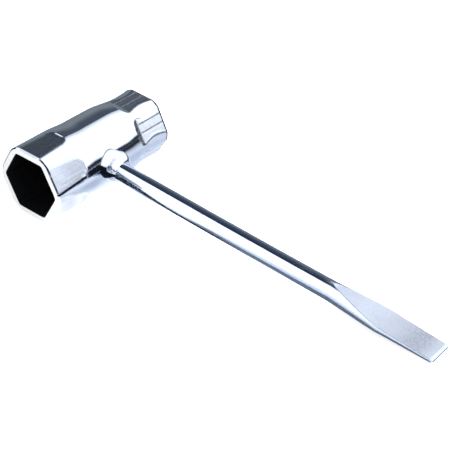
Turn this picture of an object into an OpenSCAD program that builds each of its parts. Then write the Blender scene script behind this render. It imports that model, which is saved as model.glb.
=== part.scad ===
// Spark plug wrench: a steel tube with a hexagon socket in each end, and a round bar welded
// into its side as a handle. The bar's free end is forged flat into a screwdriver blade.
// The wrench lies on a bench: the tube's barrel and the blade's tip both touch z = 0.
// X runs along the tube from the large socket to the small one, and the handle points to -Y.

/* [Sockets] */
// Width across the flats of the large socket
large_socket_af = 19.2; // [18:0.1:20]
// Depth of the large hexagon from its mouth
large_socket_depth = 16; // [10:0.5:20]
// Width across the flats of the small socket
small_socket_af = 16.2; // [13:0.1:17]
// Depth of the small hexagon from its mouth
small_socket_depth = 14; // [8:0.5:16]
// Turn of both hexagons about the tube, from a corner pointing along the handle
socket_turn = -3; // [-30:0.5:30]
// Width of the bevel that leads into each socket
lead_in = 0.4; // [0.2:0.1:1]

/* [Tube] */
// Length of the tube from mouth to mouth
tube_length = 52; // [46:0.5:70]
// Outer diameter over the rounded corners of the large end
large_end_d = 26; // [25.2:0.1:30]
// Outer diameter of the barrel between the two ends
barrel_d = 25.1; // [24.4:0.1:26]
// Outer diameter of the neck behind the small mouth
neck_d = 22.9; // [22.6:0.1:24]
// Outer diameter over the rounded corners of the small mouth
small_end_d = 23.8; // [23.2:0.1:25]
// Diameter of the round bore between the two sockets
bore_d = 20.4; // [19.4:0.1:21]
// Length of the large end, before it steps down to the barrel
large_end_length = 16; // [14:0.5:18]
// Length of the step from the large end down to the barrel
step_length = 4; // [2:0.5:6]
// Length of the taper from the barrel to the neck
taper_length = 13; // [9:0.5:14]
// Length of the flare from the neck to the small mouth
flare_length = 6; // [4:0.5:8]
// Length of the cone that narrows the bore towards the small socket
bore_cone_length = 4; // [2:0.5:6]
// Bevel on the outer edge of each mouth
rim_bevel = 0.4; // [0.2:0.1:0.8]

/* [Pressed flats] */
// Distance across the outer flats at the large mouth
large_flats_af = 24; // [23.4:0.1:24.6]
// Length of each large flat before it runs out
large_flat_length = 11; // [6:0.5:12]
// Lean of each large flat, which makes it fade into the barrel
large_flat_lean = 2; // [0:0.25:2.5]
// Radius of the hollow that ends each large flat
large_runout_r = 6; // [3:0.5:12]
// Distance across the outer flats of the small end
small_flats_af = 22.2; // [21.8:0.1:23]
// Length of each small flat before it runs out
small_flat_length = 11; // [6:0.5:12]
// Radius of the hollow that ends each small flat
small_runout_r = 10; // [4:0.5:14]

/* [Handle] */
// Diameter of the round bar
bar_d = 6.4; // [5:0.1:8]
// Distance of the bar's axis from the large mouth
bar_from_mouth = 25.6; // [22:0.2:30]
// Reach of the handle from the tube's axis to the blade's tip
handle_reach = 136; // [110:1:200]

/* [Blade] */
// Length over which the bar is forged flat, from the tip
blade_length = 39; // [28:0.5:60]
// Length of the part that tapers from the round bar to the flat blade
forging_length = 21; // [12:0.5:26]
// Thickness of the blade where the taper ends
blade_root_t = 1.5; // [1.2:0.1:3]
// Width of the blade where the taper ends
blade_root_w = 9.1; // [8:0.1:12]
// Thickness of the blade at its tip
tip_t = 1.1; // [0.6:0.1:1.2]
// Width of the blade at its tip
tip_w = 8.8; // [8:0.1:12]
// Bevel on the two corners of the tip
tip_corner = 0.5; // [0.2:0.1:1.5]

/* [Weld] */
// Diameter of the weld collar at its widest, where it meets the barrel
weld_toe_d = 16; // [12:0.2:18]
// How far the weld collar climbs the bar from the barrel
weld_climb = 2.9; // [2:0.1:5]
// Thickness of the weld collar's lip around the bar
weld_lip = 0.3; // [0.2:0.05:0.6]

/* [Fits] */
// Gap around the bar in the hole of the tube wall
hole_gap = 0.05; // [0.02:0.01:0.2]
// Gap between the weld collar and the two faces that it joins
weld_gap = 0.02; // [0.01:0.01:0.1]

/* [Hidden] */
$fn = 96;
bright_plate = [0.80, 0.82, 0.85];
dark_plate = [0.62, 0.65, 0.70];
weld_plate = [0.72, 0.74, 0.78];

// Overlap of a cutter past the face that it cuts
past = 1;
sides = 6;
// The arc at the end of a flat, as far as it can rise out of the barrel
runout_turn = 60;
runout_steps = 12;
large_end_r = large_end_d / 2;
barrel_r = barrel_d / 2;
neck_r = neck_d / 2;
small_end_r = small_end_d / 2;
// The widest part of the tube is the one that touches the bench.
tube_r = max(large_end_r, barrel_r, small_end_r);
bore_r = bore_d / 2;
bar_r = bar_d / 2;
large_corner_r = large_socket_af / 2 / cos(180 / sides);
small_corner_r = small_socket_af / 2 / cos(180 / sides);
bar_x = bar_from_mouth - tube_length / 2;

// The forged part begins where the bar is still round, and the thin blade where the forging ends.
forging_start = handle_reach - blade_length;
forging_end = forging_start + forging_length;
forging_steps = 10;
// The bar thins slowly at first and then faster, and spreads sideways as it thins.
forging_power = 1.5;
spread = blade_root_w / 2 / sqrt(bar_r * bar_r - blade_root_t * blade_root_t / 4) - 1;

// Half thickness of the forged part at a share of its length
function half_t(share) = bar_r - (bar_r - blade_root_t / 2) * pow(share, forging_power);
// Half width of the flat at a share of the forged length
function half_w(share) = sqrt(bar_r * bar_r - half_t(share) * half_t(share)) * (1 + spread * share);

// The wrench leans about the tube until the lower edge of the tip is as low as the barrel.
tip_radius = norm([handle_reach, tip_t / 2]);
droop = asin(tube_r / tip_radius) - atan(tip_t / 2 / handle_reach);
front_y = -(handle_reach * cos(droop) + tip_t / 2 * sin(droop));
middle_y = (front_y + tube_r) / 2;

// The weld collar is bell shaped: it is widest where the barrel curves away, and hollow towards its lip.
weld_toe_r = weld_toe_d / 2;
weld_lip_r = bar_r + weld_lip;
weld_toe_y = sqrt(barrel_r * barrel_r - weld_toe_r * weld_toe_r);
weld_lip_y = barrel_r + weld_climb;
weld_steps = 10;
// Radius of the weld collar at a share of its height
function weld_r(share) = weld_lip_r + (weld_toe_r - weld_lip_r) * (1 + cos(180 * share)) / 2;

module lay_on_bench() {
    translate([0, -middle_y, tube_r]) rotate([droop, 0, 0]) children();
}

// Turns a shape built along Z so that it runs along the tube, with its X axis towards +Y.
module along_tube() {
    rotate([90, 0, 90]) children();
}

// Turns a shape built along Z so that it runs out along the handle, with its X axis along the tube.
module along_handle() {
    translate([bar_x, 0, 0]) rotate([90, 0, 0]) children();
}

// The tube's outside before its flats are pressed, larger all round by a gap if one is given.
module tube_outside(gap = 0) {
    half = tube_length / 2;
    step_start = -half + large_end_length;
    neck_z = half - flare_length;
    rotate_extrude()
        polygon([
            [0, -half],
            [large_end_r - rim_bevel + gap, -half],
            [large_end_r + gap, -half + rim_bevel],
            [large_end_r + gap, step_start],
            [barrel_r + gap, step_start + step_length],
            [barrel_r + gap, neck_z - taper_length],
            [neck_r + gap, neck_z],
            [small_end_r + gap, half - rim_bevel],
            [small_end_r - rim_bevel + gap, half],
            [0, half]
        ]);
}

// Side view of what the die presses away for one outer flat: the distance from the mouth runs along X,
// and the height above the flat along Y. The far end sweeps up on an arc.
module flat_section(length, runout_r) {
    arc = [for (step = [0 : runout_steps])
        let (turn = step / runout_steps * runout_turn)
            [length + runout_r * sin(turn), runout_r * (1 - cos(turn))]];
    top = arc[runout_steps][1];
    polygon(concat([[-past, top], [-past, 0]], arc));
}

// What the die presses away for one outer flat, from the mouth at z = 0 inwards.
module flat_cutter(flat_r, lean, length, runout_r) {
    translate([flat_r, 0, 0]) rotate([0, lean, 0]) rotate([-90, -90, 0])
        linear_extrude(height = 2 * tube_r, center = true) flat_section(length, runout_r);
}

module flat_cutters(af, lean, length, runout_r) {
    for (side = [0 : sides - 1])
        rotate([0, 0, socket_turn + (side + 0.5) * 360 / sides])
            flat_cutter(af / 2, lean, length, runout_r);
}

// A hexagon hole with a bevelled mouth, from the mouth at z = 0 inwards.
module socket_hole(af, corner_r, depth) {
    rotate([0, 0, socket_turn])
        translate([0, 0, -past]) cylinder(r = corner_r, h = depth + past, $fn = sides);
    translate([0, 0, -past])
        cylinder(r1 = af / 2 + lead_in + past, r2 = af / 2 - past, h = lead_in + 2 * past);
}

// The round bore, from inside the large hexagon to the cone that runs into the small one.
module bore() {
    half = tube_length / 2;
    bore_start = -half + large_socket_depth - past;
    cone_start = half - small_socket_depth - bore_cone_length;
    cone_end = half - small_socket_depth + past;
    slope = (bore_r - small_socket_af / 2) / bore_cone_length;
    rotate_extrude()
        polygon([
            [0, bore_start],
            [bore_r, bore_start],
            [bore_r, cone_start],
            [small_socket_af / 2 - slope * past, cone_end],
            [0, cone_end]
        ]);
}

module socket_tube() {
    half = tube_length / 2;
    color(bright_plate)
        lay_on_bench() difference() {
            along_tube() difference() {
                tube_outside();
                translate([0, 0, -half]) {
                    flat_cutters(large_flats_af, large_flat_lean, large_flat_length, large_runout_r);
                    socket_hole(large_socket_af, large_corner_r, large_socket_depth);
                }
                translate([0, 0, half]) mirror([0, 0, 1]) {
                    flat_cutters(small_flats_af, 0, small_flat_length, small_runout_r);
                    socket_hole(small_socket_af, small_corner_r, small_socket_depth + bore_cone_length);
                }
                bore();
            }
            along_handle() cylinder(r = bar_r + hole_gap, h = tube_r + past);
        }
}

// Side view of the handle: the distance from the tube runs along X, and the thickness along Y.
module side_outline() {
    upper = concat(
        [[0, bar_r]],
        [for (step = [0 : forging_steps])
            let (share = step / forging_steps)
                [forging_start + share * forging_length, half_t(share)]],
        [[handle_reach, tip_t / 2]]
    );
    lower = [for (i = [len(upper) - 1 : -1 : 0]) [upper[i][0], -upper[i][1]]];
    polygon(concat(upper, lower));
}

// Top view of the blade: the distance from the tube runs along X, and the width along Y.
module blade_outline() {
    right = concat(
        [for (step = [1 : forging_steps])
            let (share = step / forging_steps)
                [forging_start + share * forging_length, half_w(share)]],
        [[handle_reach - tip_corner, tip_w / 2], [handle_reach, tip_w / 2 - tip_corner]]
    );
    left = [for (i = [len(right) - 1 : -1 : 0]) [right[i][0], -right[i][1]]];
    polygon(concat(right, left));
}

// The handle seen from the side, as wide as the blade, run out along Z.
module side_slab() {
    translate([tip_w, 0, 0]) rotate([0, -90, 0]) linear_extrude(height = 2 * tip_w) side_outline();
}

// The blade seen from the top, as thick as the bar, run out along Z.
module blade_slab() {
    translate([0, -bar_r, 0]) rotate([-90, -90, 0]) linear_extrude(height = bar_d) blade_outline();
}

module handle_bar() {
    color(dark_plate)
        lay_on_bench() difference() {
            along_handle() intersection() {
                side_slab();
                union() {
                    cylinder(r = bar_r, h = forging_end);
                    blade_slab();
                }
            }
            along_tube() cylinder(r = bore_r, h = tube_length, center = true);
        }
}

// Half section of the weld collar: the distance from the bar's axis runs along X, and from the tube along Y.
module weld_section() {
    bell = [for (step = [0 : weld_steps])
        let (share = step / weld_steps)
            [weld_r(share), weld_toe_y + share * (weld_lip_y - weld_toe_y)]];
    foot_y = weld_toe_y - past;
    inner_r = bar_r + weld_gap;
    polygon(concat([[inner_r, foot_y], [weld_toe_r, foot_y]], bell, [[inner_r, weld_lip_y]]));
}

module weld_collar() {
    color(weld_plate)
        lay_on_bench() difference() {
            along_handle() rotate_extrude() weld_section();
            along_tube() tube_outside(weld_gap);
        }
}

socket_tube();
handle_bar();
weld_collar();
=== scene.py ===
"""Spark plug wrench: plated steel tube with a hexagon socket in each end, welded bar with a blade."""

import math

import bpy
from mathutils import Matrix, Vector


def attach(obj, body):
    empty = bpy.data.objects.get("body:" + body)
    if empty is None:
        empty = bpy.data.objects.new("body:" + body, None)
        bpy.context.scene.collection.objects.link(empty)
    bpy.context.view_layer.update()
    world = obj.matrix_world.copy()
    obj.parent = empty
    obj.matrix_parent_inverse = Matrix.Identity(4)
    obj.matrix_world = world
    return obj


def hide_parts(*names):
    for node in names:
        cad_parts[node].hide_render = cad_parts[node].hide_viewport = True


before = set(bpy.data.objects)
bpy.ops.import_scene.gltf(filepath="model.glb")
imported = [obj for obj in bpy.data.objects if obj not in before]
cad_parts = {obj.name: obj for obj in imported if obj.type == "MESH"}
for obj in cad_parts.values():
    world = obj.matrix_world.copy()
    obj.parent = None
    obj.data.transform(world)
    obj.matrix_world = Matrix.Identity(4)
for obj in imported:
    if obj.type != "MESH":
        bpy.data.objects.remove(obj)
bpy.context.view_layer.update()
scene = bpy.context.scene

# Plating
# Tube, bar and weld are dipped in one bath after welding, so they share one finish: bright metal with
# faint draw lines, clouds where the plating is thinner, and grain where a tool has pressed it.


def set_input(tree, socket, operand):
    """Gives a node's input a plain value, or links another node's output to it."""
    if isinstance(operand, bpy.types.NodeSocket):
        tree.links.new(operand, socket)
    else:
        socket.default_value = operand


def add_math(tree, operation, *operands):
    """Adds one Math node, with numbers or sockets as its operands, and returns its result."""
    node = tree.nodes.new("ShaderNodeMath")
    node.operation = operation
    for socket, operand in zip(node.inputs, operands):
        set_input(tree, socket, operand)
    return node.outputs[0]


def add_range(tree, value, low, high, to_low=0.0, to_high=1.0, curve="SMOOTHSTEP"):
    """Adds one Map Range node from low..high to to_low..to_high, clamped, and returns its result."""
    node = tree.nodes.new("ShaderNodeMapRange")
    node.interpolation_type = curve
    for name, operand in (
        ("Value", value), ("From Min", low), ("From Max", high), ("To Min", to_low), ("To Max", to_high),
    ):
        set_input(tree, node.inputs[name], operand)
    return node.outputs["Result"]


def add_blend(tree, share, first, second):
    """Adds one colour Mix node and returns the blend of two colours."""
    node = tree.nodes.new("ShaderNodeMix")
    node.data_type = "RGBA"
    # The colour sockets of a Mix node share their names with its other sockets, so they go by place.
    for place, operand in ((0, share), (6, first), (7, second)):
        set_input(tree, node.inputs[place], operand)
    return node.outputs[2]


def add_noise(tree, vector, scale, detail, roughness):
    """Adds one 3-D Noise Texture, with its scale in cycles per metre, and returns its value."""
    node = tree.nodes.new("ShaderNodeTexNoise")
    node.inputs["Scale"].default_value = scale
    node.inputs["Detail"].default_value = detail
    node.inputs["Roughness"].default_value = roughness
    tree.links.new(vector, node.inputs["Vector"])
    return node.outputs["Fac"]


def plating_group():
    """Builds the shader group of the plated finish: its colour, roughness and height over the surface."""
    tree = bpy.data.node_groups.new("plated finish", "ShaderNodeTree")
    for kind, names in (
        ("NodeSocketVector", ("Place", "Drawn Place")),
        ("NodeSocketColor", ("Bright", "Dull")),
        ("NodeSocketFloat", ("Worked", "Polish", "Worked Roughness", "Draw Lines", "Scale", "Sawn")),
    ):
        for name in names:
            tree.interface.new_socket(name, in_out="INPUT", socket_type=kind)
    for name, kind in (
        ("Colour", "NodeSocketColor"), ("Roughness", "NodeSocketFloat"), ("Height", "NodeSocketFloat"),
    ):
        tree.interface.new_socket(name, in_out="OUTPUT", socket_type=kind)
    given = tree.nodes.new("NodeGroupInput").outputs
    made = tree.nodes.new("NodeGroupOutput").inputs

    def calc(operation, *operands):
        return add_math(tree, operation, *operands)

    # Clouds a few millimetres across, where the plating is thinner
    cloud = add_noise(tree, given["Place"], scale=260.0, detail=4.0, roughness=0.55)
    cloudy = add_range(tree, cloud, 0.42, 0.72)
    # Lines left by drawing the steel through its die. They are deeper on the worked faces.
    lines = add_noise(tree, given["Drawn Place"], scale=1.0, detail=3.0, roughness=0.6)
    worked_deepens = 0.8
    deepening = calc("MULTIPLY_ADD", given["Worked"], worked_deepens, 1.0)
    line_depth = calc("MULTIPLY", given["Draw Lines"], deepening)
    lined = calc("MULTIPLY", add_range(tree, lines, 0.45, 0.7), line_depth)
    # Grain of the worked faces, where a die or hammer has pressed the skin rough
    grain = add_noise(tree, given["Place"], scale=1500.0, detail=3.0, roughness=0.65)
    grained = calc("MULTIPLY", add_range(tree, grain, 0.35, 0.75), given["Worked"])
    # Specks on the worked faces that are rougher still, and scatter the light
    speck = add_noise(tree, given["Place"], scale=2400.0, detail=2.0, roughness=0.5)
    specked = calc("MULTIPLY", add_range(tree, speck, 0.52, 0.72), given["Worked"])

    # Colour: bright metal, and how far each of these marks turns it dull
    worked_dulls = 0.70
    dullness = calc("MULTIPLY", given["Worked"], worked_dulls)
    for mark, share in ((grained, 0.12), (cloudy, 0.12), (lined, 0.15)):
        dullness = calc("MULTIPLY_ADD", mark, share, dullness)
    metal = add_blend(tree, calc("MINIMUM", dullness, 1.0), given["Bright"], given["Dull"])
    # Sawn faces are paler, without the blue tint of the plating
    sawn_steel = (0.73, 0.74, 0.73, 1.0)
    metal = add_blend(tree, given["Sawn"], metal, sawn_steel)
    # Black in patches where the Scale input asks for it. The pieces store painted shade and painted dark
    # reflections there, with dirt near the blade's tip and fine dark lines along edges.
    shade_and_dirt_black = (0.010, 0.015, 0.027, 1.0)
    patches = add_range(tree, grain, 0.3, 0.7, 0.6, 1.5, "LINEAR")
    dark_share = calc("MINIMUM", calc("MULTIPLY", given["Scale"], patches), 1.0)
    tree.links.new(add_blend(tree, dark_share, metal, shade_and_dirt_black), made["Colour"])

    # Roughness: the polish of the plain metal, and what each mark adds to it
    roughness = given["Polish"]
    for mark, share in ((cloudy, 0.03), (lined, 0.05)):
        roughness = calc("MULTIPLY_ADD", mark, share, roughness)
    grain_roughens = 0.1
    worked_part = calc("MULTIPLY_ADD", grained, grain_roughens, given["Worked Roughness"])
    roughness = calc("ADD", calc("MULTIPLY", given["Worked"], worked_part), roughness)
    speck_roughens = 0.05
    roughness = calc("MULTIPLY_ADD", specked, speck_roughens, roughness)
    sawn_part = calc("MULTIPLY", given["Sawn"], add_range(tree, grain, 0.35, 0.75, 0.3, 0.6))
    roughness = calc("ADD", roughness, sawn_part)
    dark_roughens = 0.8
    tree.links.new(calc("MULTIPLY_ADD", dark_share, dark_roughens, roughness), made["Roughness"])

    # Height: the grain, with the draw lines and the clouds as shares of it
    height = grained
    for mark, share in ((lined, 0.25), (cloud, 0.4)):
        height = calc("MULTIPLY_ADD", mark, share, height)
    tree.links.new(height, made["Height"])
    return tree


plating = plating_group()


def plated_material(name, drawn_scale, bright, dull, polish, worked_roughness, draw_lines, bump):
    """A plated metal. drawn_scale stretches the draw lines along the piece, in cycles per metre."""
    material = bpy.data.materials.new(name)
    material.use_nodes = True
    tree = material.node_tree
    shader = tree.nodes["Principled BSDF"]
    shader.inputs["Metallic"].default_value = 1.0
    place = tree.nodes.new("ShaderNodeTexCoord").outputs["Object"]
    drawn = tree.nodes.new("ShaderNodeMapping")
    drawn.inputs["Scale"].default_value = drawn_scale
    tree.links.new(place, drawn.inputs["Vector"])
    finish = tree.nodes.new("ShaderNodeGroup")
    finish.node_tree = plating
    tree.links.new(place, finish.inputs["Place"])
    tree.links.new(drawn.outputs["Vector"], finish.inputs["Drawn Place"])
    finish.inputs["Bright"].default_value = bright
    finish.inputs["Dull"].default_value = dull
    finish.inputs["Polish"].default_value = polish
    finish.inputs["Worked Roughness"].default_value = worked_roughness
    finish.inputs["Draw Lines"].default_value = draw_lines
    for attribute_name, input_name in (("worked", "Worked"), ("scale", "Scale"), ("sawn", "Sawn")):
        painted = tree.nodes.new("ShaderNodeAttribute")
        painted.attribute_name = attribute_name
        tree.links.new(painted.outputs["Fac"], finish.inputs[input_name])
    tree.links.new(finish.outputs["Colour"], shader.inputs["Base Color"])
    tree.links.new(finish.outputs["Roughness"], shader.inputs["Roughness"])
    relief = tree.nodes.new("ShaderNodeBump")
    relief.inputs["Strength"].default_value = 1.0
    relief.inputs["Distance"].default_value = bump
    tree.links.new(finish.outputs["Height"], relief.inputs["Height"])
    tree.links.new(relief.outputs["Normal"], shader.inputs["Normal"])
    return material


# Socket tube
# One length of steel tube. Each end is pressed over a hexagon mandrel, which makes the socket inside
# and leaves six flats outside that run out into the round barrel. The bore stays dark and unplated.
tube_length = 0.05198
large_end_radius = 0.01299
barrel_radius = 0.01255
neck_radius = 0.01145
small_end_radius = 0.0119
bore_radius = 0.0102
tube_y = 0.06124
tube_z = 0.013
# The handle's tip lies on the bench, so the whole wrench is turned about the tube by this angle.
droop = math.radians(5.2526)
# The large hexagon is turned against the handle by the first of these angles, and the small hexagon
# against the large one by the second.
socket_turn = math.radians(-3.0)
small_end_turn = math.radians(2.0)


def pressed_tube_tree():
    """Geometry nodes for the tube: one grid wrapped outside, over a rim, inside and over the other rim."""
    tree = bpy.data.node_groups.new("pressed tube", "GeometryNodeTree")
    for name in (
        "Length", "Large End Radius", "Barrel Radius", "Neck Radius", "Small End Radius",
        "Large End Length", "Step Length", "Taper Length", "Flare Length",
        "Large Flat", "Large Flat Slope", "Large Flat Length", "Large Runout",
        "Small Flat", "Small Flat Length", "Small Runout",
        "Large Edge Softness", "Small Edge Softness", "Tongue Softness", "Rim Bevel",
        "Large Socket", "Large Depth", "Small Socket", "Small Depth", "Cone Length", "Bore Radius",
        "Turn", "Small End Turn", "Axis Y", "Axis Z",
    ):
        tree.interface.new_socket(name, in_out="INPUT", socket_type="NodeSocketFloat")
    for name in ("Outside", "Inside"):
        tree.interface.new_socket(name, in_out="INPUT", socket_type="NodeSocketMaterial")
    tree.interface.new_socket("Tube", in_out="OUTPUT", socket_type="NodeSocketGeometry")
    given = tree.nodes.new("NodeGroupInput").outputs

    def calc(operation, *operands):
        return add_math(tree, operation, *operands)

    def ramp(value, low, high, to_low=0.0, to_high=1.0, curve="SMOOTHSTEP"):
        return add_range(tree, value, low, high, to_low, to_high, curve)

    def apart(first, second):
        return calc("ABSOLUTE", calc("SUBTRACT", first, second))

    def product(first, *others):
        for other in others:
            first = calc("MULTIPLY", first, other)
        return first

    # The grid's first direction runs along the wall's outline, and its second around the tube.
    runs = 300
    around = 300
    grid = tree.nodes.new("GeometryNodeMeshGrid")
    grid.inputs["Size X"].default_value = 1.0
    grid.inputs["Size Y"].default_value = 1.0
    grid.inputs["Vertices X"].default_value = runs + 1
    grid.inputs["Vertices Y"].default_value = around + 1
    place = tree.nodes.new("ShaderNodeSeparateXYZ")
    tree.links.new(tree.nodes.new("GeometryNodeInputPosition").outputs[0], place.inputs[0])
    run = calc("ADD", place.outputs["X"], 0.5)
    turn = calc("ADD", place.outputs["Y"], 0.5)
    angle = calc("MULTIPLY_ADD", turn, 2 * math.pi, given["Turn"])
    facing_up = calc("SINE", angle)

    # Shares of the outline: outside, rim at the small mouth, inside, rim at the large mouth
    outside_end = 0.70
    small_rim_end = 0.73
    inside_end = 0.97
    outside_share = ramp(run, 0.0, outside_end, curve="LINEAR")
    small_rim_share = ramp(run, outside_end, small_rim_end, curve="LINEAR")
    inside_share = ramp(run, small_rim_end, inside_end, curve="LINEAR")
    large_rim_share = ramp(run, inside_end, 1.0, curve="LINEAR")

    def crowded_ends(share):
        """Moves the rows of the grid closer together at both mouths."""
        crowding = 0.75
        wave = calc("SINE", calc("MULTIPLY", share, 2 * math.pi))
        moved = calc("MULTIPLY_ADD", wave, -crowding / (2 * math.pi), share)
        return calc("MULTIPLY", moved, given["Length"])

    along = calc("SUBTRACT", crowded_ends(outside_share), crowded_ends(inside_share))
    from_small = calc("SUBTRACT", given["Length"], along)
    outside = calc("ADD", calc("SUBTRACT", 1.0, small_rim_share), large_rim_share)

    # Angle from the middle of the nearest flat, and how much farther out the flat is there
    sides = 6
    small_turn = calc("SUBTRACT", turn, calc("DIVIDE", given["Small End Turn"], 2 * math.pi))

    def from_flat_middle(share):
        past_corner = calc("FRACT", calc("MULTIPLY", share, sides))
        return calc("MULTIPLY", calc("SUBTRACT", past_corner, 0.5), 2 * math.pi / sides)

    from_small_middle = from_flat_middle(small_turn)
    spread = calc("DIVIDE", 1.0, calc("COSINE", from_flat_middle(turn)))
    small_spread = calc("DIVIDE", 1.0, calc("COSINE", from_small_middle))

    def flat_height(start, slope, distance, length, runout):
        """Distance of a pressed flat from the axis: level or leaning, then sweeping up out of the barrel."""
        steepest = 0.95
        past = calc("MAXIMUM", calc("SUBTRACT", distance, length), 0.0)
        past = calc("MINIMUM", past, calc("MULTIPLY", runout, steepest))
        squares = calc("SUBTRACT", calc("MULTIPLY", runout, runout), calc("MULTIPLY", past, past))
        level = calc("MULTIPLY_ADD", distance, slope, start)
        return calc("ADD", level, calc("SUBTRACT", runout, calc("SQRT", squares)))

    # The large end steps down to the barrel, which narrows to a neck and flares again at the small mouth.
    step_end = calc("ADD", given["Large End Length"], given["Step Length"])
    stepped = ramp(
        along, given["Large End Length"], step_end, given["Large End Radius"], given["Barrel Radius"],
    )
    taper_start = calc("ADD", given["Flare Length"], given["Taper Length"])
    narrowing = calc("SUBTRACT", given["Barrel Radius"], given["Neck Radius"])
    taper = ramp(from_small, taper_start, given["Flare Length"], 0.0, narrowing)
    tapered = calc("SUBTRACT", stepped, taper)
    flare = ramp(from_small, given["Flare Length"], 0.0, curve="LINEAR")
    rise = calc("SUBTRACT", given["Small End Radius"], given["Neck Radius"])
    barrel = calc("MULTIPLY_ADD", calc("MULTIPLY", flare, flare), rise, tapered)
    large_flat = flat_height(
        given["Large Flat"], given["Large Flat Slope"],
        along, given["Large Flat Length"], given["Large Runout"],
    )
    small_flat = flat_height(
        given["Small Flat"], 0.0, from_small, given["Small Flat Length"], given["Small Runout"],
    )
    large_face = calc("MULTIPLY", large_flat, spread)
    small_face = calc("MULTIPLY", small_flat, small_spread)
    # The corners of the large end are well rounded. The tongues of its flats end more sharply.
    tongue_length = 0.001
    large_soft = ramp(
        along, calc("SUBTRACT", given["Large Flat Length"], tongue_length), given["Large Flat Length"],
        given["Large Edge Softness"], given["Tongue Softness"],
    )
    skin = calc("SMOOTH_MIN", barrel, large_face, large_soft)
    skin = calc("SMOOTH_MIN", skin, small_face, given["Small Edge Softness"])

    # The flats are dull where they are pressed in. The small ones had a smoother die than the large ones,
    # and the lower flats and the large mouth are less dull.
    press_depths = (0.00016, 0.00036)
    small_end_start = (0.024, 0.032)
    small_end_dullness = 0.25
    lower_side = (-0.25, -0.02)
    lower_dullness = 0.4
    mouth_reach = (0.001, 0.009)
    mouth_dullness = 0.75
    pressed = product(
        ramp(calc("SUBTRACT", barrel, skin), *press_depths),
        ramp(along, *small_end_start, 1.0, small_end_dullness),
        ramp(facing_up, *lower_side, lower_dullness, 1.0),
        ramp(along, *mouth_reach, mouth_dullness, 1.0),
    )

    # Painted shade darkens the creases around the small flats, most of it along one edge and at their inner
    # ends, and two straight dark lines are painted along each of them.
    crease_width = 0.00009
    crease_shade_strength = 0.95
    inner_end = (0.0085, 0.0105)
    before_inner_end = 0.15
    one_edge = (0.0, 0.1)
    line_angles = (-0.2225, 0.048)
    line_half_angles = (0.004, 0.026)
    painted_line_strength = 0.8
    line_end = (0.0105, 0.0120)
    small_flat_end = (0.0125, 0.0145)
    painted_crease_shade = calc(
        "MULTIPLY",
        ramp(apart(small_face, barrel), 0.0, crease_width, crease_shade_strength, 0.0),
        calc("MAXIMUM", ramp(from_small, *inner_end, before_inner_end), ramp(from_small_middle, *one_edge)),
    )
    painted_lines = 0.0
    for line_angle in line_angles:
        painted_line = ramp(apart(from_small_middle, line_angle), *line_half_angles, painted_line_strength, 0.0)
        painted_lines = calc("MAXIMUM", painted_lines, painted_line)
    painted_lines = calc("MULTIPLY", painted_lines, ramp(from_small, *line_end, 1.0, 0.0))
    on_small_flat = ramp(from_small, *small_flat_end, 1.0, 0.0)
    dark = calc("MULTIPLY", calc("MAXIMUM", painted_crease_shade, painted_lines), on_small_flat)

    # The edges of the large flats carry a painted dark reflection line too, most of it at half height.
    edge_width = 0.0002
    half_height = (0.2, 0.6)
    half_height_strength = 2.2
    upper_strength = 0.15
    below_axis = (-0.15, -0.05)
    large_flat_end = (0.0115, 0.0135)
    edge = product(
        ramp(apart(large_face, barrel), 0.0, edge_width, 1.0, 0.0),
        ramp(facing_up, *half_height, half_height_strength, upper_strength),
        ramp(facing_up, *below_axis),
        ramp(along, *large_flat_end, 1.0, 0.0),
    )

    # A painted dark band on the barrel beside the weld, on the side of the large end, stands in for the
    # reflection of the bar's dark side.
    reflection_band_angle = math.radians(167.5)
    reflection_band_half_angles = (math.radians(3.0), math.radians(6.5))
    reflection_band_strength = 1.3
    reflection_band_start = (0.0115, 0.0145)
    reflection_band_end = (0.0195, 0.0210)
    painted_dark_patch = product(
        ramp(apart(angle, reflection_band_angle), *reflection_band_half_angles, reflection_band_strength, 0.0),
        ramp(along, *reflection_band_start),
        ramp(along, *reflection_band_end, 1.0, 0.0),
    )

    # A fine dark line runs along the edge of the small mouth, and a painted edge shadow lies over the upper
    # corners of the large one.
    small_mouth_line = 0.0007
    small_mouth_widths = (0.0001, 0.0004)
    large_mouth_line = 0.0003
    large_mouth_widths = (0.0001, 0.0003)
    large_mouth_strength = 1.2
    corner_top = (0.88, 0.94)
    corner_foot = (0.55, 0.70)
    small_mouth = ramp(apart(from_small, small_mouth_line), *small_mouth_widths, 1.0, 0.0)
    large_mouth = product(
        ramp(apart(along, large_mouth_line), *large_mouth_widths, large_mouth_strength, 0.0),
        ramp(facing_up, *corner_top, 1.0, 0.0),
        ramp(facing_up, *corner_foot),
    )
    for mark in (edge, painted_dark_patch, small_mouth, large_mouth):
        dark = calc("MAXIMUM", dark, mark)

    # Bevelled outer edge of each mouth
    to_mouth = calc("MINIMUM", along, from_small)
    bevel = calc("MAXIMUM", calc("SUBTRACT", given["Rim Bevel"], to_mouth), 0.0)
    skin = calc("SUBTRACT", skin, bevel)

    # The bore: large hexagon, round bore, then a cone into the small hexagon
    def hexagon(across_flats, turned):
        corner_share = 0.569
        corner_softness = 0.0003
        sharp = calc("MULTIPLY", calc("MULTIPLY", across_flats, 0.5), turned)
        return calc("SMOOTH_MIN", sharp, calc("MULTIPLY", across_flats, corner_share), corner_softness)

    def between(share, first, second):
        return calc("MULTIPLY_ADD", share, calc("SUBTRACT", second, first), first)

    socket_floor = 0.0006
    past_large = ramp(along, calc("SUBTRACT", given["Large Depth"], socket_floor), given["Large Depth"])
    cone_start = calc("ADD", given["Small Depth"], given["Cone Length"])
    past_cone = ramp(from_small, cone_start, given["Small Depth"], curve="LINEAR")
    bore = between(past_large, hexagon(given["Large Socket"], spread), given["Bore Radius"])
    bore = between(past_cone, bore, hexagon(given["Small Socket"], small_spread))

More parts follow.
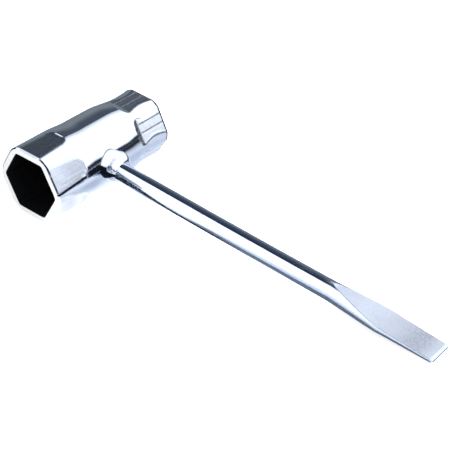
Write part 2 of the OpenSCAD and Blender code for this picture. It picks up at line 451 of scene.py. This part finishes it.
    radius = between(outside, bore, skin)
    point = tree.nodes.new("ShaderNodeCombineXYZ")
    for axis, value in (
        ("X", calc("MULTIPLY_ADD", given["Length"], -0.5, along)),
        ("Y", calc("MULTIPLY_ADD", radius, calc("COSINE", angle), given["Axis Y"])),
        ("Z", calc("MULTIPLY_ADD", radius, facing_up, given["Axis Z"])),
    ):
        tree.links.new(value, point.inputs[axis])

    def keep(geometry, name, value):
        """Stores a value at each point under a name, for the materials and the lining to read."""
        node = tree.nodes.new("GeometryNodeStoreNamedAttribute")
        node.data_type = "FLOAT"
        node.domain = "POINT"
        node.inputs["Name"].default_value = name
        tree.links.new(geometry, node.inputs["Geometry"])
        tree.links.new(value, node.inputs["Value"])
        return node.outputs["Geometry"]

    # The sawn end faces of the rims are the roughest part of the tube.
    rim_margin = 0.001
    on_small_rim = calc("COMPARE", small_rim_share, 0.5, 0.5 - rim_margin)
    on_large_rim = calc("COMPARE", large_rim_share, 0.5, 0.5 - rim_margin)
    sawn = calc("MAXIMUM", on_small_rim, on_large_rim)
    before_large_rim = calc("LESS_THAN", large_rim_share, rim_margin)
    in_bore = calc("MULTIPLY", calc("GREATER_THAN", inside_share, 0.0), before_large_rim)
    skin_only = calc("MAXIMUM", calc("SUBTRACT", outside, sawn), 0.0)
    # The small flats were wiped with a coarse cloth before plating.
    wiped_start = (0.030, 0.036)
    wiped = product(pressed, skin_only, ramp(along, *wiped_start))
    shape = keep(grid.outputs["Mesh"], "worked", calc("MULTIPLY", pressed, skin_only))
    shape = keep(shape, "sawn", calc("MAXIMUM", sawn, wiped))
    # The scale attribute carries the painted shade and painted dark reflections above.
    shape = keep(shape, "scale", calc("MULTIPLY", dark, skin_only))
    shape = keep(shape, "in_bore", in_bore)

    wrap = tree.nodes.new("GeometryNodeSetPosition")
    tree.links.new(shape, wrap.inputs["Geometry"])
    tree.links.new(point.outputs[0], wrap.inputs["Position"])
    seam_gap = 0.000002
    close_seams = tree.nodes.new("GeometryNodeMergeByDistance")
    close_seams.inputs["Distance"].default_value = seam_gap
    tree.links.new(wrap.outputs["Geometry"], close_seams.inputs["Geometry"])
    # Sharp edges stay sharp where the rims meet the sockets.
    sharp_bend = math.radians(40)
    corner = tree.nodes.new("GeometryNodeSetShadeSmooth")
    corner.domain = "EDGE"
    corner.inputs["Shade Smooth"].default_value = False
    bend = tree.nodes.new("GeometryNodeInputMeshEdgeAngle").outputs["Unsigned Angle"]
    tree.links.new(calc("GREATER_THAN", bend, sharp_bend), corner.inputs["Selection"])
    tree.links.new(close_seams.outputs["Geometry"], corner.inputs["Geometry"])
    realize = tree.nodes.new("GeometryNodeRealizeInstances")
    tree.links.new(corner.outputs["Geometry"], realize.inputs["Geometry"])
    coat = tree.nodes.new("GeometryNodeSetMaterial")
    tree.links.new(realize.outputs["Geometry"], coat.inputs["Geometry"])
    tree.links.new(given["Outside"], coat.inputs["Material"])
    stored = tree.nodes.new("GeometryNodeInputNamedAttribute")
    stored.data_type = "FLOAT"
    stored.inputs["Name"].default_value = "in_bore"
    bore_from = 0.3
    lining = tree.nodes.new("GeometryNodeSetMaterial")
    tree.links.new(calc("GREATER_THAN", stored.outputs["Attribute"], bore_from), lining.inputs["Selection"])
    tree.links.new(coat.outputs["Geometry"], lining.inputs["Geometry"])
    tree.links.new(given["Inside"], lining.inputs["Material"])
    tree.links.new(lining.outputs["Geometry"], tree.nodes.new("NodeGroupOutput").inputs["Tube"])
    return tree


def shape_from_nodes(name, tree, values):
    """Runs a geometry node tree once with its named inputs and keeps the result as a plain mesh."""
    piece = bpy.data.objects.new(name, bpy.data.meshes.new(name + "_seed"))
    scene.collection.objects.link(piece)
    modifier = piece.modifiers.new("shape", "NODES")
    modifier.node_group = tree
    for item in tree.interface.items_tree:
        if item.in_out == "INPUT" and item.name in values:
            modifier[item.identifier] = values[item.name]
    evaluated = piece.evaluated_get(bpy.context.evaluated_depsgraph_get())
    mesh = bpy.data.meshes.new_from_object(evaluated)
    mesh.name = name
    piece.modifiers.remove(modifier)
    piece.data = mesh
    return piece


tube_finish = plated_material(
    "bright plated tube",
    drawn_scale=(40.0, 2600.0, 2600.0),
    bright=(0.66, 0.71, 0.80, 1.0),
    dull=(0.31, 0.335, 0.38, 1.0),
    polish=0.07,
    worked_roughness=0.10,
    draw_lines=0.6,
    bump=0.000006,
)

# The bore is bare steel under black scale, a little patchy in colour and gloss.
bore_black = (0.001, 0.001, 0.0015, 1.0)
bore_grey = (0.003, 0.003, 0.005, 1.0)
bore_finish = bpy.data.materials.new("dark bore")
bore_finish.use_nodes = True
bore_tree = bore_finish.node_tree
bore_shader = bore_tree.nodes["Principled BSDF"]
bore_shader.inputs["Metallic"].default_value = 0.6
bore_place = bore_tree.nodes.new("ShaderNodeTexCoord").outputs["Object"]
bore_scale = add_noise(bore_tree, bore_place, scale=700.0, detail=4.0, roughness=0.6)
bore_colour = add_blend(bore_tree, bore_scale, bore_black, bore_grey)
bore_tree.links.new(bore_colour, bore_shader.inputs["Base Color"])
bore_roughness = add_range(bore_tree, bore_scale, 0.2, 0.8, 0.42, 0.62, "LINEAR")
bore_tree.links.new(bore_roughness, bore_shader.inputs["Roughness"])

tube = shape_from_nodes("tube_shell", pressed_tube_tree(), {
    "Length": tube_length,
    "Large End Radius": large_end_radius,
    "Barrel Radius": barrel_radius,
    "Neck Radius": neck_radius,
    "Small End Radius": small_end_radius,
    "Large End Length": 0.0145,
    "Step Length": 0.008,
    "Taper Length": 0.013,
    "Flare Length": 0.006,
    "Large Flat": 0.01213,
    "Large Flat Slope": 0.024,
    "Large Flat Length": 0.0119,
    "Large Runout": 0.0028,
    "Small Flat": 0.0109,
    "Small Flat Length": 0.011,
    "Small Runout": 0.004,
    "Large Edge Softness": 0.0008,
    "Small Edge Softness": 0.0002,
    "Tongue Softness": 0.0002,
    "Rim Bevel": 0.00045,
    "Large Socket": 0.0192,
    "Large Depth": 0.016,
    "Small Socket": 0.0162,
    "Small Depth": 0.014,
    "Cone Length": 0.004,
    "Bore Radius": bore_radius,
    "Turn": socket_turn + droop,
    "Small End Turn": small_end_turn,
    "Axis Y": tube_y,
    "Axis Z": tube_z,
    "Outside": tube_finish,
    "Inside": bore_finish,
})
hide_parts("socket_tube")
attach(tube, "root")

# Handle bar
# A round steel bar set in a hole of the tube's front wall and welded there. Its free end is forged
# flat under a hammer and ground into a screwdriver blade, so the flat is duller than the round part.
bar_radius = 0.0032
bar_x = -0.0004
handle_reach = 0.136
forging_start = 0.0988
forging_end = 0.1163
blade_root_half = 0.00095
blade_root_half_width = 0.00455
tip_half = 0.00042
tip_half_width = 0.0044
tip_corner = 0.0005
tip_bevel = 0.0012
tip_edge_half = 0.00034
# Places across a flat from its right edge to its left one, closest together at the edges
flat_places = (1.0, 0.95, 0.75, 0.45, 0.15, -0.15, -0.45, -0.75, -0.95)
flat_steps = len(flat_places)
side_steps = 44


def on_handle(across, out, up):
    """Turns a place on the handle, with out counted from the tube's axis, into a point of the wrench."""
    return (
        bar_x + across,
        tube_y - out * math.cos(droop) - up * math.sin(droop),
        tube_z - out * math.sin(droop) + up * math.cos(droop),
    )


def step_between(low, high, value):
    """Goes smoothly from 0 at low to 1 at high."""
    share = min(max((value - low) / (high - low), 0.0), 1.0)
    return share * share * (3 - 2 * share)


def handle_bow(out):
    """How far the bar is bowed upwards: the hammer bent it a little where the forging starts."""
    bow_start = 0.045
    bend_start = 0.098
    bend_end = 0.110
    bow = 0.0004
    climb = 2 * bow / (bend_start - bow_start)
    bend = bend_end - bend_start
    fall = (bow + climb * bend / 2) / (handle_reach - bend_end + bend / 2)
    if out < bow_start:
        return 0.0
    if out < bend_start:
        return bow * ((out - bow_start) / (bend_start - bow_start)) ** 2
    if out > bend_end:
        return max(handle_reach - out, 0.0) * fall
    past = out - bend_start
    return bow + climb * past - (climb + fall) * past ** 2 / (2 * bend)


def handle_section(out):
    """Half thickness of the bar at a distance from the tube's axis, and how far it has spread sideways."""
    hollow_power = 1.15
    share = max((out - forging_start) / (forging_end - forging_start), 0.0)
    forged = bar_radius - (bar_radius - blade_root_half) * share ** hollow_power
    past_forging = (out - forging_end) / (handle_reach - forging_end)
    blade = blade_root_half + (tip_half - blade_root_half) * past_forging
    # The hollow of the forging runs into the blade on a wide curve.
    curve = 0.0006
    meeting = max(curve - abs(forged - blade), 0.0) / curve
    half = max(forged, blade) + meeting * meeting * curve / 4
    root_spread = blade_root_half_width / math.sqrt(bar_radius ** 2 - blade_root_half ** 2)
    spread = 1 + (root_spread - 1) * min(share, 1.0)
    if past_forging > 0:
        width = blade_root_half_width + (tip_half_width - blade_root_half_width) * past_forging
        spread = width / math.sqrt(bar_radius ** 2 - half ** 2)
    # The tip is ground to a thinner edge, and its corners are rounded off.
    to_tip = handle_reach - out
    if to_tip < tip_bevel:
        half -= (tip_half - tip_edge_half) * (1 - to_tip / tip_bevel)
    if to_tip < tip_corner:
        rounded = tip_corner - math.sqrt(tip_corner ** 2 - (tip_corner - to_tip) ** 2)
        spread *= 1 - rounded / tip_half_width
    return min(half, bar_radius), spread


def handle_ring(half, spread):
    """Section of the bar as across and up: upper flat, left side, lower flat and right side."""
    # Angle from straight up to the edge of the flat, which is a narrow strip on the round bar
    narrowest = math.radians(2)
    edge = max(math.acos(half / bar_radius), narrowest)
    ring = []
    for side in (1, -1):
        for place in flat_places:
            across = bar_radius * math.sin(edge) * place
            up = min(half, math.sqrt(bar_radius ** 2 - across ** 2))
            ring.append((side * across * spread, side * up))
        for step in range(side_steps):
            angle = edge + (math.pi - 2 * edge) * step / side_steps
            across = bar_radius * math.sin(angle) * spread
            ring.append((-side * across, side * bar_radius * math.cos(angle)))
    return ring


def handle_marks(out, half):
    """How dull the flats are at one place along the bar, and how dark their dirt and their edges are."""
    full_flat_depth = 0.0001
    flatness = min((bar_radius - half) / full_flat_depth, 1.0)
    # The flat starts smooth and gets duller towards the blade. The bevel of the tip is ground bright.
    full_dull = 0.1015
    bevel_share = 0.4
    hammered = flatness * step_between(forging_start, full_dull, out)
    if out > handle_reach - tip_bevel:
        hammered *= bevel_share
    # Dirt stays on the flats near the tip.
    dirt_scale = 0.16
    dirt_start = (0.121, 0.128)
    dirt_end = (0.130, 0.1345)
    tip_dirt = dirt_scale * step_between(*dirt_start, out) * (1 - step_between(*dirt_end, out))
    # A fine dark line runs along the edges of the flat, strongest where the flat starts.
    edge_scale = 0.5
    start_scale = 0.3
    start_fade = (0.102, 0.114)
    edge_line = flatness * (edge_scale + start_scale * (1 - step_between(*start_fade, out)))
    return hammered, tip_dirt, edge_line


def painted_shadow_line(across, out, up):
    """Painted reflection of the bar's shadow on the bench: a dark line along the left side of the round bar,
    which sinks and fades away from the weld.
    """
    fade = (0.050, 0.085)
    start_turn = 177.6
    sinking = 20
    sinking_part = (0.022, 0.042)
    start_edge = 0.943
    narrowing = 0.024
    narrowing_part = (0.018, 0.032)
    softness = 0.03
    turn = math.radians(start_turn + sinking * step_between(*sinking_part, out))
    edge = start_edge + narrowing * step_between(*narrowing_part, out)
    towards_line = (math.cos(turn) * across + math.sin(turn) * up) / bar_radius
    return (1 - step_between(*fade, out)) * step_between(edge, edge + softness, towards_line)


def even_steps(first, last, steps):
    """Places from first to last in even steps, without first itself."""
    return [first + (last - first) * step / steps for step in range(1, steps + 1)]


def handle_mesh():
    """Rings of points from the bore's wall to the blade's tip, joined into one closed skin."""
    wall_margin = 0.00005
    round_start = 0.012
    bevel_start = handle_reach - tip_bevel
    round_rows = 60
    forged_rows = 110
    blade_rows = 50
    bevel_rows = 3
    corner_rows = 8
    stations = [bore_radius, round_start]
    stations += even_steps(round_start, forging_start, round_rows)
    first_forged = len(stations)
    stations += even_steps(forging_start, forging_end, forged_rows)
    stations += even_steps(forging_end, bevel_start, blade_rows)
    stations += even_steps(bevel_start, handle_reach - tip_corner, bevel_rows)
    for row in range(1, corner_rows + 1):
        stations.append(handle_reach - tip_corner * math.cos(math.pi / 2 * row / corner_rows))
    side_dullness = 0.3
    tip_end_outline = 0.7
    around = 2 * (flat_steps + side_steps)
    edge_places = {0, flat_steps, flat_steps + side_steps, 2 * flat_steps + side_steps}
    points = []
    worked = []
    scale = []
    for number, out in enumerate(stations):
        half, spread = handle_section(out)
        hammered, tip_dirt, edge_line = handle_marks(out, half)
        for place, (across, up) in enumerate(handle_ring(half, spread)):
            # The inner end of the bar follows the wall of the bore.
            depth = out
            if number == 0:
                depth = math.sqrt((bore_radius - wall_margin) ** 2 - up ** 2)
            points.append(on_handle(across, depth, up + handle_bow(out)))
            on_flat = place % (flat_steps + side_steps) <= flat_steps
            worked.append(hammered if on_flat else hammered * side_dullness)
            marks = [0.0]
            if half == bar_radius:
                marks.append(painted_shadow_line(across, out, up))
            if on_flat:
                marks.append(tip_dirt)
            if place in edge_places:
                marks.append(edge_line)
            if number == len(stations) - 1:
                marks.append(tip_end_outline)
            scale.append(max(marks))
    faces = []
    for ring_number in range(len(stations) - 1):
        first = ring_number * around
        for step in range(around):
            after = (step + 1) % around
            faces.append((first + after, first + around + after, first + around + step, first + step))
    faces.append(tuple(reversed(range(around))))
    faces.append(tuple(range((len(stations) - 1) * around, len(stations) * around)))
    mesh = bpy.data.meshes.new("bar_with_blade")
    mesh.from_pydata(points, [], faces)
    mesh.shade_smooth()
    mesh.attributes.new("worked", "FLOAT", "POINT").data.foreach_set("value", worked)
    # The scale attribute carries the painted shadow line, the dirt near the tip and the dark lines along the
    # flats' edges and the tip's end.
    mesh.attributes.new("scale", "FLOAT", "POINT").data.foreach_set("value", scale)
    mesh.set_sharp_from_angle(angle=math.radians(40))
    # The edges of the flats are sharp from the point where they start.
    sharp = mesh.attributes["sharp_edge"].data
    for edge in mesh.edges:
        first, second = edge.vertices
        place = first % around
        lengthwise = place == second % around
        if lengthwise and place in edge_places and min(first, second) >= first_forged * around:
            sharp[edge.index].value = True
    return mesh


bar = bpy.data.objects.new("bar_with_blade", handle_mesh())
scene.collection.objects.link(bar)
bar.data.materials.append(plated_material(
    "plated bar",
    drawn_scale=(2600.0, 40.0, 2600.0),
    bright=(0.60, 0.69, 0.84, 1.0),
    dull=(0.53, 0.555, 0.61, 1.0),
    polish=0.06,
    worked_roughness=0.36,
    draw_lines=0.8,
    bump=0.00001,
))
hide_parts("handle_bar")
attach(bar, "root")

# Weld
# One bead of weld metal laid around the root of the bar. It is a low dome, fuller on one side, that
# stands on the barrel and runs out thin along the bar.
weld_toe = 0.0059
weld_bulge = 0.0017
weld_bulge_angle = math.radians(145)
weld_thin = 0.0021
weld_thin_angle = math.radians(250)
weld_lip = 0.0153
weld_step = 0.00003
weld_ripples = 26
weld_ripple_height = 0.000005


def weld_profile(angle):
    """Radius and distance out of the bead at one angle round the bar, from its toe to its lip."""
    def barrel_face(radius):
        return math.sqrt(barrel_radius ** 2 - (radius * math.sin(angle)) ** 2)

    # Toe and lip wander a little on their way round.
    toe_wander = 0.00012 * math.sin(3 * angle + 0.6) + 0.00010 * math.sin(7 * angle + 1.9)
    lip_wander = 0.0002 * math.sin(3 * angle + 0.4)
    bulging = step_between(0.0, 0.95, math.cos(angle - weld_bulge_angle))
    toe = weld_toe + toe_wander + weld_bulge * bulging
    toe -= weld_thin * step_between(-0.2, 0.7, math.cos(angle - weld_thin_angle))
    lip = weld_lip + lip_wander
    lip_radius = bar_radius + weld_step
    # The bead starts a little inside the barrel's wall.
    toe_flare = 0.00005
    toe_sink = 0.0004
    profile = [(toe + toe_flare, barrel_face(toe) - toe_sink)]
    # It is steep where it stands on the barrel. On its bulging side it runs out along the bar.
    bulge_run_out = 0.35
    run_out_power = 5
    run_out = bulge_run_out * bulging
    dome_rows = 24
    for step in range(dome_rows + 1):
        turn = math.pi / 2 * step / dome_rows
        rise = (1 - run_out) * math.sin(turn) + run_out * (1 - math.cos(turn)) ** run_out_power
        profile.append((
            lip_radius + (toe - lip_radius) * math.cos(turn),
            barrel_face(toe) + (lip - barrel_face(toe)) * rise,
        ))
    # Its hidden side lies inside the bar.
    lip_sink = 0.0001
    root_sink = 0.0002
    root_depth = 0.0008
    profile.append((bar_radius - lip_sink, lip + weld_step))
    profile.append((bar_radius - root_sink, barrel_face(bar_radius) - root_depth))
    return profile


def weld_mesh():
    """The bead's profiles all round the bar, joined into one closed ring."""
    around = 192
    weld_dullness = 0.25
    ripple_lean = 4
    # Painted shade lies in the groove at the toe and on both flanks, darkest on the left flank. The left
    # flank is given in degrees round the bar, the right one by how far it faces right, and how high the
    # painted shade climbs as a share of the bead's profile.
    toe_shade_rows = 3
    toe_shade_strength = 0.6
    left_start = (143, 149)
    left_end = (178, 190)
    left_climb = (152, 176)
    left_low = 0.45
    left_rise = 0.6
    left_softness = 0.12
    left_flank_shade = 1.6
    right_facing = (0.70, 0.87)
    right_height = (0.15, 0.35)
    right_flank_shade = 0.5
    points = []
    scale = []
    for step in range(around):
        angle = 2 * math.pi * step / around
        profile = weld_profile(angle)
        degrees = math.degrees(angle)
        left_flank = step_between(*left_start, degrees) * (1 - step_between(*left_end, degrees))
        left_height = left_low + left_rise * step_between(*left_climb, degrees)
        right_flank = step_between(*right_facing, math.cos(angle))
        for row, (radius, out) in enumerate(profile):
            share = row / (len(profile) - 1)
            wave = math.sin(weld_ripples * angle + ripple_lean * share)
            ripple = weld_ripple_height * wave * math.sin(math.pi * share)
            points.append(on_handle(
                (radius + ripple) * math.cos(angle), out + ripple, (radius + ripple) * math.sin(angle),
            ))
            painted_toe_shade = toe_shade_strength if row < toe_shade_rows else 0.0
            above_left = step_between(left_height, left_height + left_softness, share)
            painted_dark_patch = left_flank_shade * left_flank * (1 - above_left)
            painted_right_flank_shade = right_flank_shade * right_flank * (1 - step_between(*right_height, share))
            scale.append(max(painted_toe_shade, painted_dark_patch, painted_right_flank_shade))
    loop = len(profile)
    faces = []
    for step in range(around):
        first = step * loop
        second = (step + 1) % around * loop
        for row in range(loop):
            below = (row + 1) % loop
            faces.append((first + row, first + below, second + below, second + row))
    mesh = bpy.data.meshes.new("weld_bead")
    mesh.from_pydata(points, [], faces)
    mesh.shade_smooth()
    worked = [weld_dullness] * len(points)
    mesh.attributes.new("worked", "FLOAT", "POINT").data.foreach_set("value", worked)
    # The scale attribute carries the painted shade of the groove and the flanks.
    mesh.attributes.new("scale", "FLOAT", "POINT").data.foreach_set("value", scale)
    mesh.set_sharp_from_angle(angle=math.radians(60))
    return mesh


weld = bpy.data.objects.new("weld_bead", weld_mesh())
scene.collection.objects.link(weld)
weld.data.materials.append(plated_material(
    "plated weld",
    drawn_scale=(900.0, 900.0, 900.0),
    bright=(0.64, 0.69, 0.78, 1.0),
    dull=(0.46, 0.51, 0.60, 1.0),
    polish=0.12,
    worked_roughness=0.2,
    draw_lines=0.3,
    bump=0.000012,
))
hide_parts("weld_collar")
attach(weld, "root")

# Bench, light and camera
# A plain pale bench under a key light from the right front, with white walls on the right and the
# left. The room behind the wrench is dark, which is what bright plating needs to show its shape.
bench_size = 0.9
bench_white = (0.86, 0.87, 0.89, 1.0)
bench_pale = (0.50, 0.52, 0.56, 1.0)
painted_dark_behind = (0.16, 0.18, 0.20, 1.0)
painted_shade_before = (0.01, 0.012, 0.016, 1.0)
right_shade = (0.34, 0.37, 0.43, 1.0)
right_shade_middle = (0.022, 0.043, 0.0)
weld_shade = (0.31, 0.33, 0.38, 1.0)
weld_shade_middle = (0.0, 0.040, 0.0)
bench_camera_glow = 0.75
bench_left_glow = 0.87
bench_mesh = bpy.data.meshes.new("bench")
bench_mesh.from_pydata(
    [(-bench_size, -bench_size, 0.0), (bench_size, -bench_size, 0.0),
     (bench_size, bench_size, 0.0), (-bench_size, bench_size, 0.0)],
    [], [(0, 1, 2, 3)],
)
bench = bpy.data.objects.new("bench", bench_mesh)
scene.collection.objects.link(bench)
bench_finish = bpy.data.materials.new("pale bench")
bench_finish.use_nodes = True
bench_tree = bench_finish.node_tree
bench_shader = bench_tree.nodes["Principled BSDF"]
bench_shader.inputs["Roughness"].default_value = 0.9
bench_shader.inputs["Specular IOR Level"].default_value = 0.0
bench_shader.inputs["Emission Color"].default_value = (1.0, 1.0, 1.0, 1.0)
to_camera = bench_tree.nodes.new("ShaderNodeLightPath").outputs["Is Camera Ray"]
bench_place = bench_tree.nodes.new("ShaderNodeTexCoord").outputs["Object"]


def add_measure(tree, operation, vector, other):
    """Adds one Vector Math node that measures a place or a direction against a given one."""
    node = tree.nodes.new("ShaderNodeVectorMath")
    node.operation = operation
    tree.links.new(vector, node.inputs[0])
    node.inputs[1].default_value = other
    return node.outputs["Value"]


def bench_along(direction):
    """How far a place on the bench lies along a direction."""
    return add_measure(bench_tree, "DOT_PRODUCT", bench_place, direction)


def bench_from(middle):
    """How far a place on the bench lies from a given one."""
    return add_measure(bench_tree, "DISTANCE", bench_place, middle)


def bench_ramp(value, low, high, to_low=0.0, to_high=1.0, curve="SMOOTHSTEP"):
    return add_range(bench_tree, value, low, high, to_low, to_high, curve)


def bench_product(first, second):
    return add_math(bench_tree, "MULTIPLY", first, second)


# The bench is white and evenly lit for the camera. In the plating it is a pale sheet with painted darkness
# behind the wrench and painted shade in front of it on the right, and a painted glow under the left end of
# the tube and beside the bar.
bench_x = bench_along((1.0, 0.0, 0.0))
bench_y = bench_along((0.0, 1.0, 0.0))
behind = bench_ramp(bench_along((0.50, 0.866, 0.0)), 0.070, 0.095)
before = bench_ramp(bench_along((0.6, -0.8, 0.0)), -0.010, 0.050, curve="LINEAR")
right_before = bench_product(before, bench_ramp(bench_x, 0.002, 0.014))
bench_grey = add_blend(bench_tree, behind, bench_pale, painted_dark_behind)
bench_grey = add_blend(bench_tree, right_before, bench_grey, painted_shade_before)
# Painted shade makes the bench darker under the weld and right of it, where tube and bar keep the light off
# it.
open_right = bench_ramp(bench_from(right_shade_middle), 0.006, 0.024)
bench_grey = add_blend(bench_tree, open_right, right_shade, bench_grey)
open_weld = bench_ramp(bench_from(weld_shade_middle), 0.002, 0.012)
bench_grey = add_blend(bench_tree, open_weld, weld_shade, bench_grey)
bench_colour = add_blend(bench_tree, to_camera, bench_grey, bench_white)
bench_tree.links.new(bench_colour, bench_shader.inputs["Base Color"])
# Painted glow: in the plating the bench shines under the left end of the tube and beside the bar.
under_tube = bench_product(bench_ramp(bench_y, 0.040, 0.050), bench_ramp(bench_x, -0.016, 0.000, 1.0, 0.2))
beside_bar = bench_product(bench_ramp(bench_x, -0.011, -0.006, 1.0, 0.0), bench_ramp(bench_y, 0.015, 0.030))
painted_glow = add_math(bench_tree, "MAXIMUM", under_tube, beside_bar)
painted_glow = bench_product(painted_glow, add_math(bench_tree, "SUBTRACT", 1.0, behind))
painted_glow = bench_product(painted_glow, open_weld)
painted_glow = bench_product(painted_glow, bench_left_glow)
bench_light = bench_ramp(to_camera, 0.0, 1.0, painted_glow, bench_camera_glow, "LINEAR")
bench_tree.links.new(bench_light, bench_shader.inputs["Emission Strength"])
bench_mesh.materials.append(bench_finish)

key_data = bpy.data.lights.new("key", "AREA")
key_data.size = 0.22
key_data.energy = 30.0
key_light = bpy.data.objects.new("key", key_data)
scene.collection.objects.link(key_light)
key_light.location = (0.48, -0.56, 0.33)
key_light.rotation_euler = (-key_light.location).to_track_quat("-Z", "Y").to_euler()
# The plating mirrors the walls alone. The key light is there for the shadows on the bench.
key_light.visible_glossy = False

wall_white = (1.70, 1.75, 1.85, 1.0)
room_black = (0.010, 0.014, 0.030, 1.0)
back_low = (0.26, 0.29, 0.31, 1.0)
back_high = (0.088, 0.107, 0.138, 1.0)
back_overhead = (0.045, 0.056, 0.085, 1.0)
backdrop_white = (1.0, 1.0, 1.0, 1.0)
wall_share_on_bench = 0.25
studio = bpy.data.worlds.new("studio")
studio.use_nodes = True
scene.world = studio
sky = studio.node_tree
sky_way = sky.nodes.new("ShaderNodeTexCoord").outputs["Generated"]


def sky_along(direction):
    """How far a way out into the room points along a direction."""
    return add_measure(sky, "DOT_PRODUCT", sky_way, direction)


def sky_ramp(value, low, high, to_low=0.0, to_high=1.0):
    return add_range(sky, value, low, high, to_low, to_high)


def sky_calc(operation, first, second):
    return add_math(sky, operation, first, second)


height = sky_along((0.0, 0.0, 1.0))
# The right wall reaches a little past the wrench, and it is dimmer along its far edge.
past_wrench = 0.283
from_edge = sky_calc("ADD", sky_along((0.08, -1.0, 0.0)), past_wrench)
edge_half = sky_ramp(from_edge, -0.007, 0.007, 0.0, 0.5)
inner_half = sky_ramp(from_edge, 0.0, 0.22, 0.0, 0.5)
right_wall = sky_calc("ADD", edge_half, inner_half)
left_wall = sky_ramp(sky_along((-1.0, 0.0, 0.0)), 0.04, 0.12)
either_wall = sky_calc("MAXIMUM", right_wall, left_wall)
# The walls stop above the bench, except at the left back, where the sheet sweeps down to it.
# They leave a dark gap below the camera.
wall_foot = sky_ramp(height, 0.05, 0.15)
sweep = sky_ramp(sky_along((-0.6, 0.8, 0.0)), 0.2, 0.5)
camera_side = sky_ramp(sky_along((-0.68, -0.73, 0.0)), 0.70, 0.85)
gap = sky_calc("MULTIPLY", camera_side, sky_ramp(height, 0.20, 0.32, 1.0, 0.0))
walled = sky_calc("MULTIPLY", either_wall, sky_calc("MAXIMUM", wall_foot, sweep))
lit = sky_calc("MULTIPLY", walled, sky_calc("SUBTRACT", 1.0, gap))
# The dark room fades from grey near the bench to almost black overhead.
room_back = sky_ramp(sky_along((0.64, 0.77, 0.0)), 0.2, 0.5)
back_colour = add_blend(sky, sky_ramp(height, 0.25, 0.60), back_low, back_high)
back_colour = add_blend(sky, sky_ramp(height, 0.66, 0.86), back_colour, back_overhead)
room = add_blend(sky, room_back, room_black, back_colour)
walls = add_blend(sky, lit, room, wall_white)
# The camera itself sees one plain white backdrop, and the walls light the bench only a little.
ray_kind = sky.nodes.new("ShaderNodeLightPath").outputs
backdrop = add_blend(sky, ray_kind["Is Camera Ray"], walls, backdrop_white)
sky.links.new(backdrop, sky.nodes["Background"].inputs["Color"])
wall_power = add_range(sky, ray_kind["Is Diffuse Ray"], 0.0, 1.0, 1.0, wall_share_on_bench, "LINEAR")
sky.links.new(wall_power, sky.nodes["Background"].inputs["Strength"])

scene.view_settings.view_transform = "Standard"

camera = bpy.data.objects.new("camera", bpy.data.cameras.new("camera"))
scene.collection.objects.link(camera)
camera.location = (-0.2499, -0.2028, 0.2348)
camera_target = Vector((0.00163, 0.00453, 0.0080))
camera.rotation_euler = (camera_target - camera.location).to_track_quat("-Z", "Y").to_euler()
camera.data.sensor_width = 36.0
camera.data.lens = 103.32
camera.data.clip_start = 0.01
scene.camera = camera
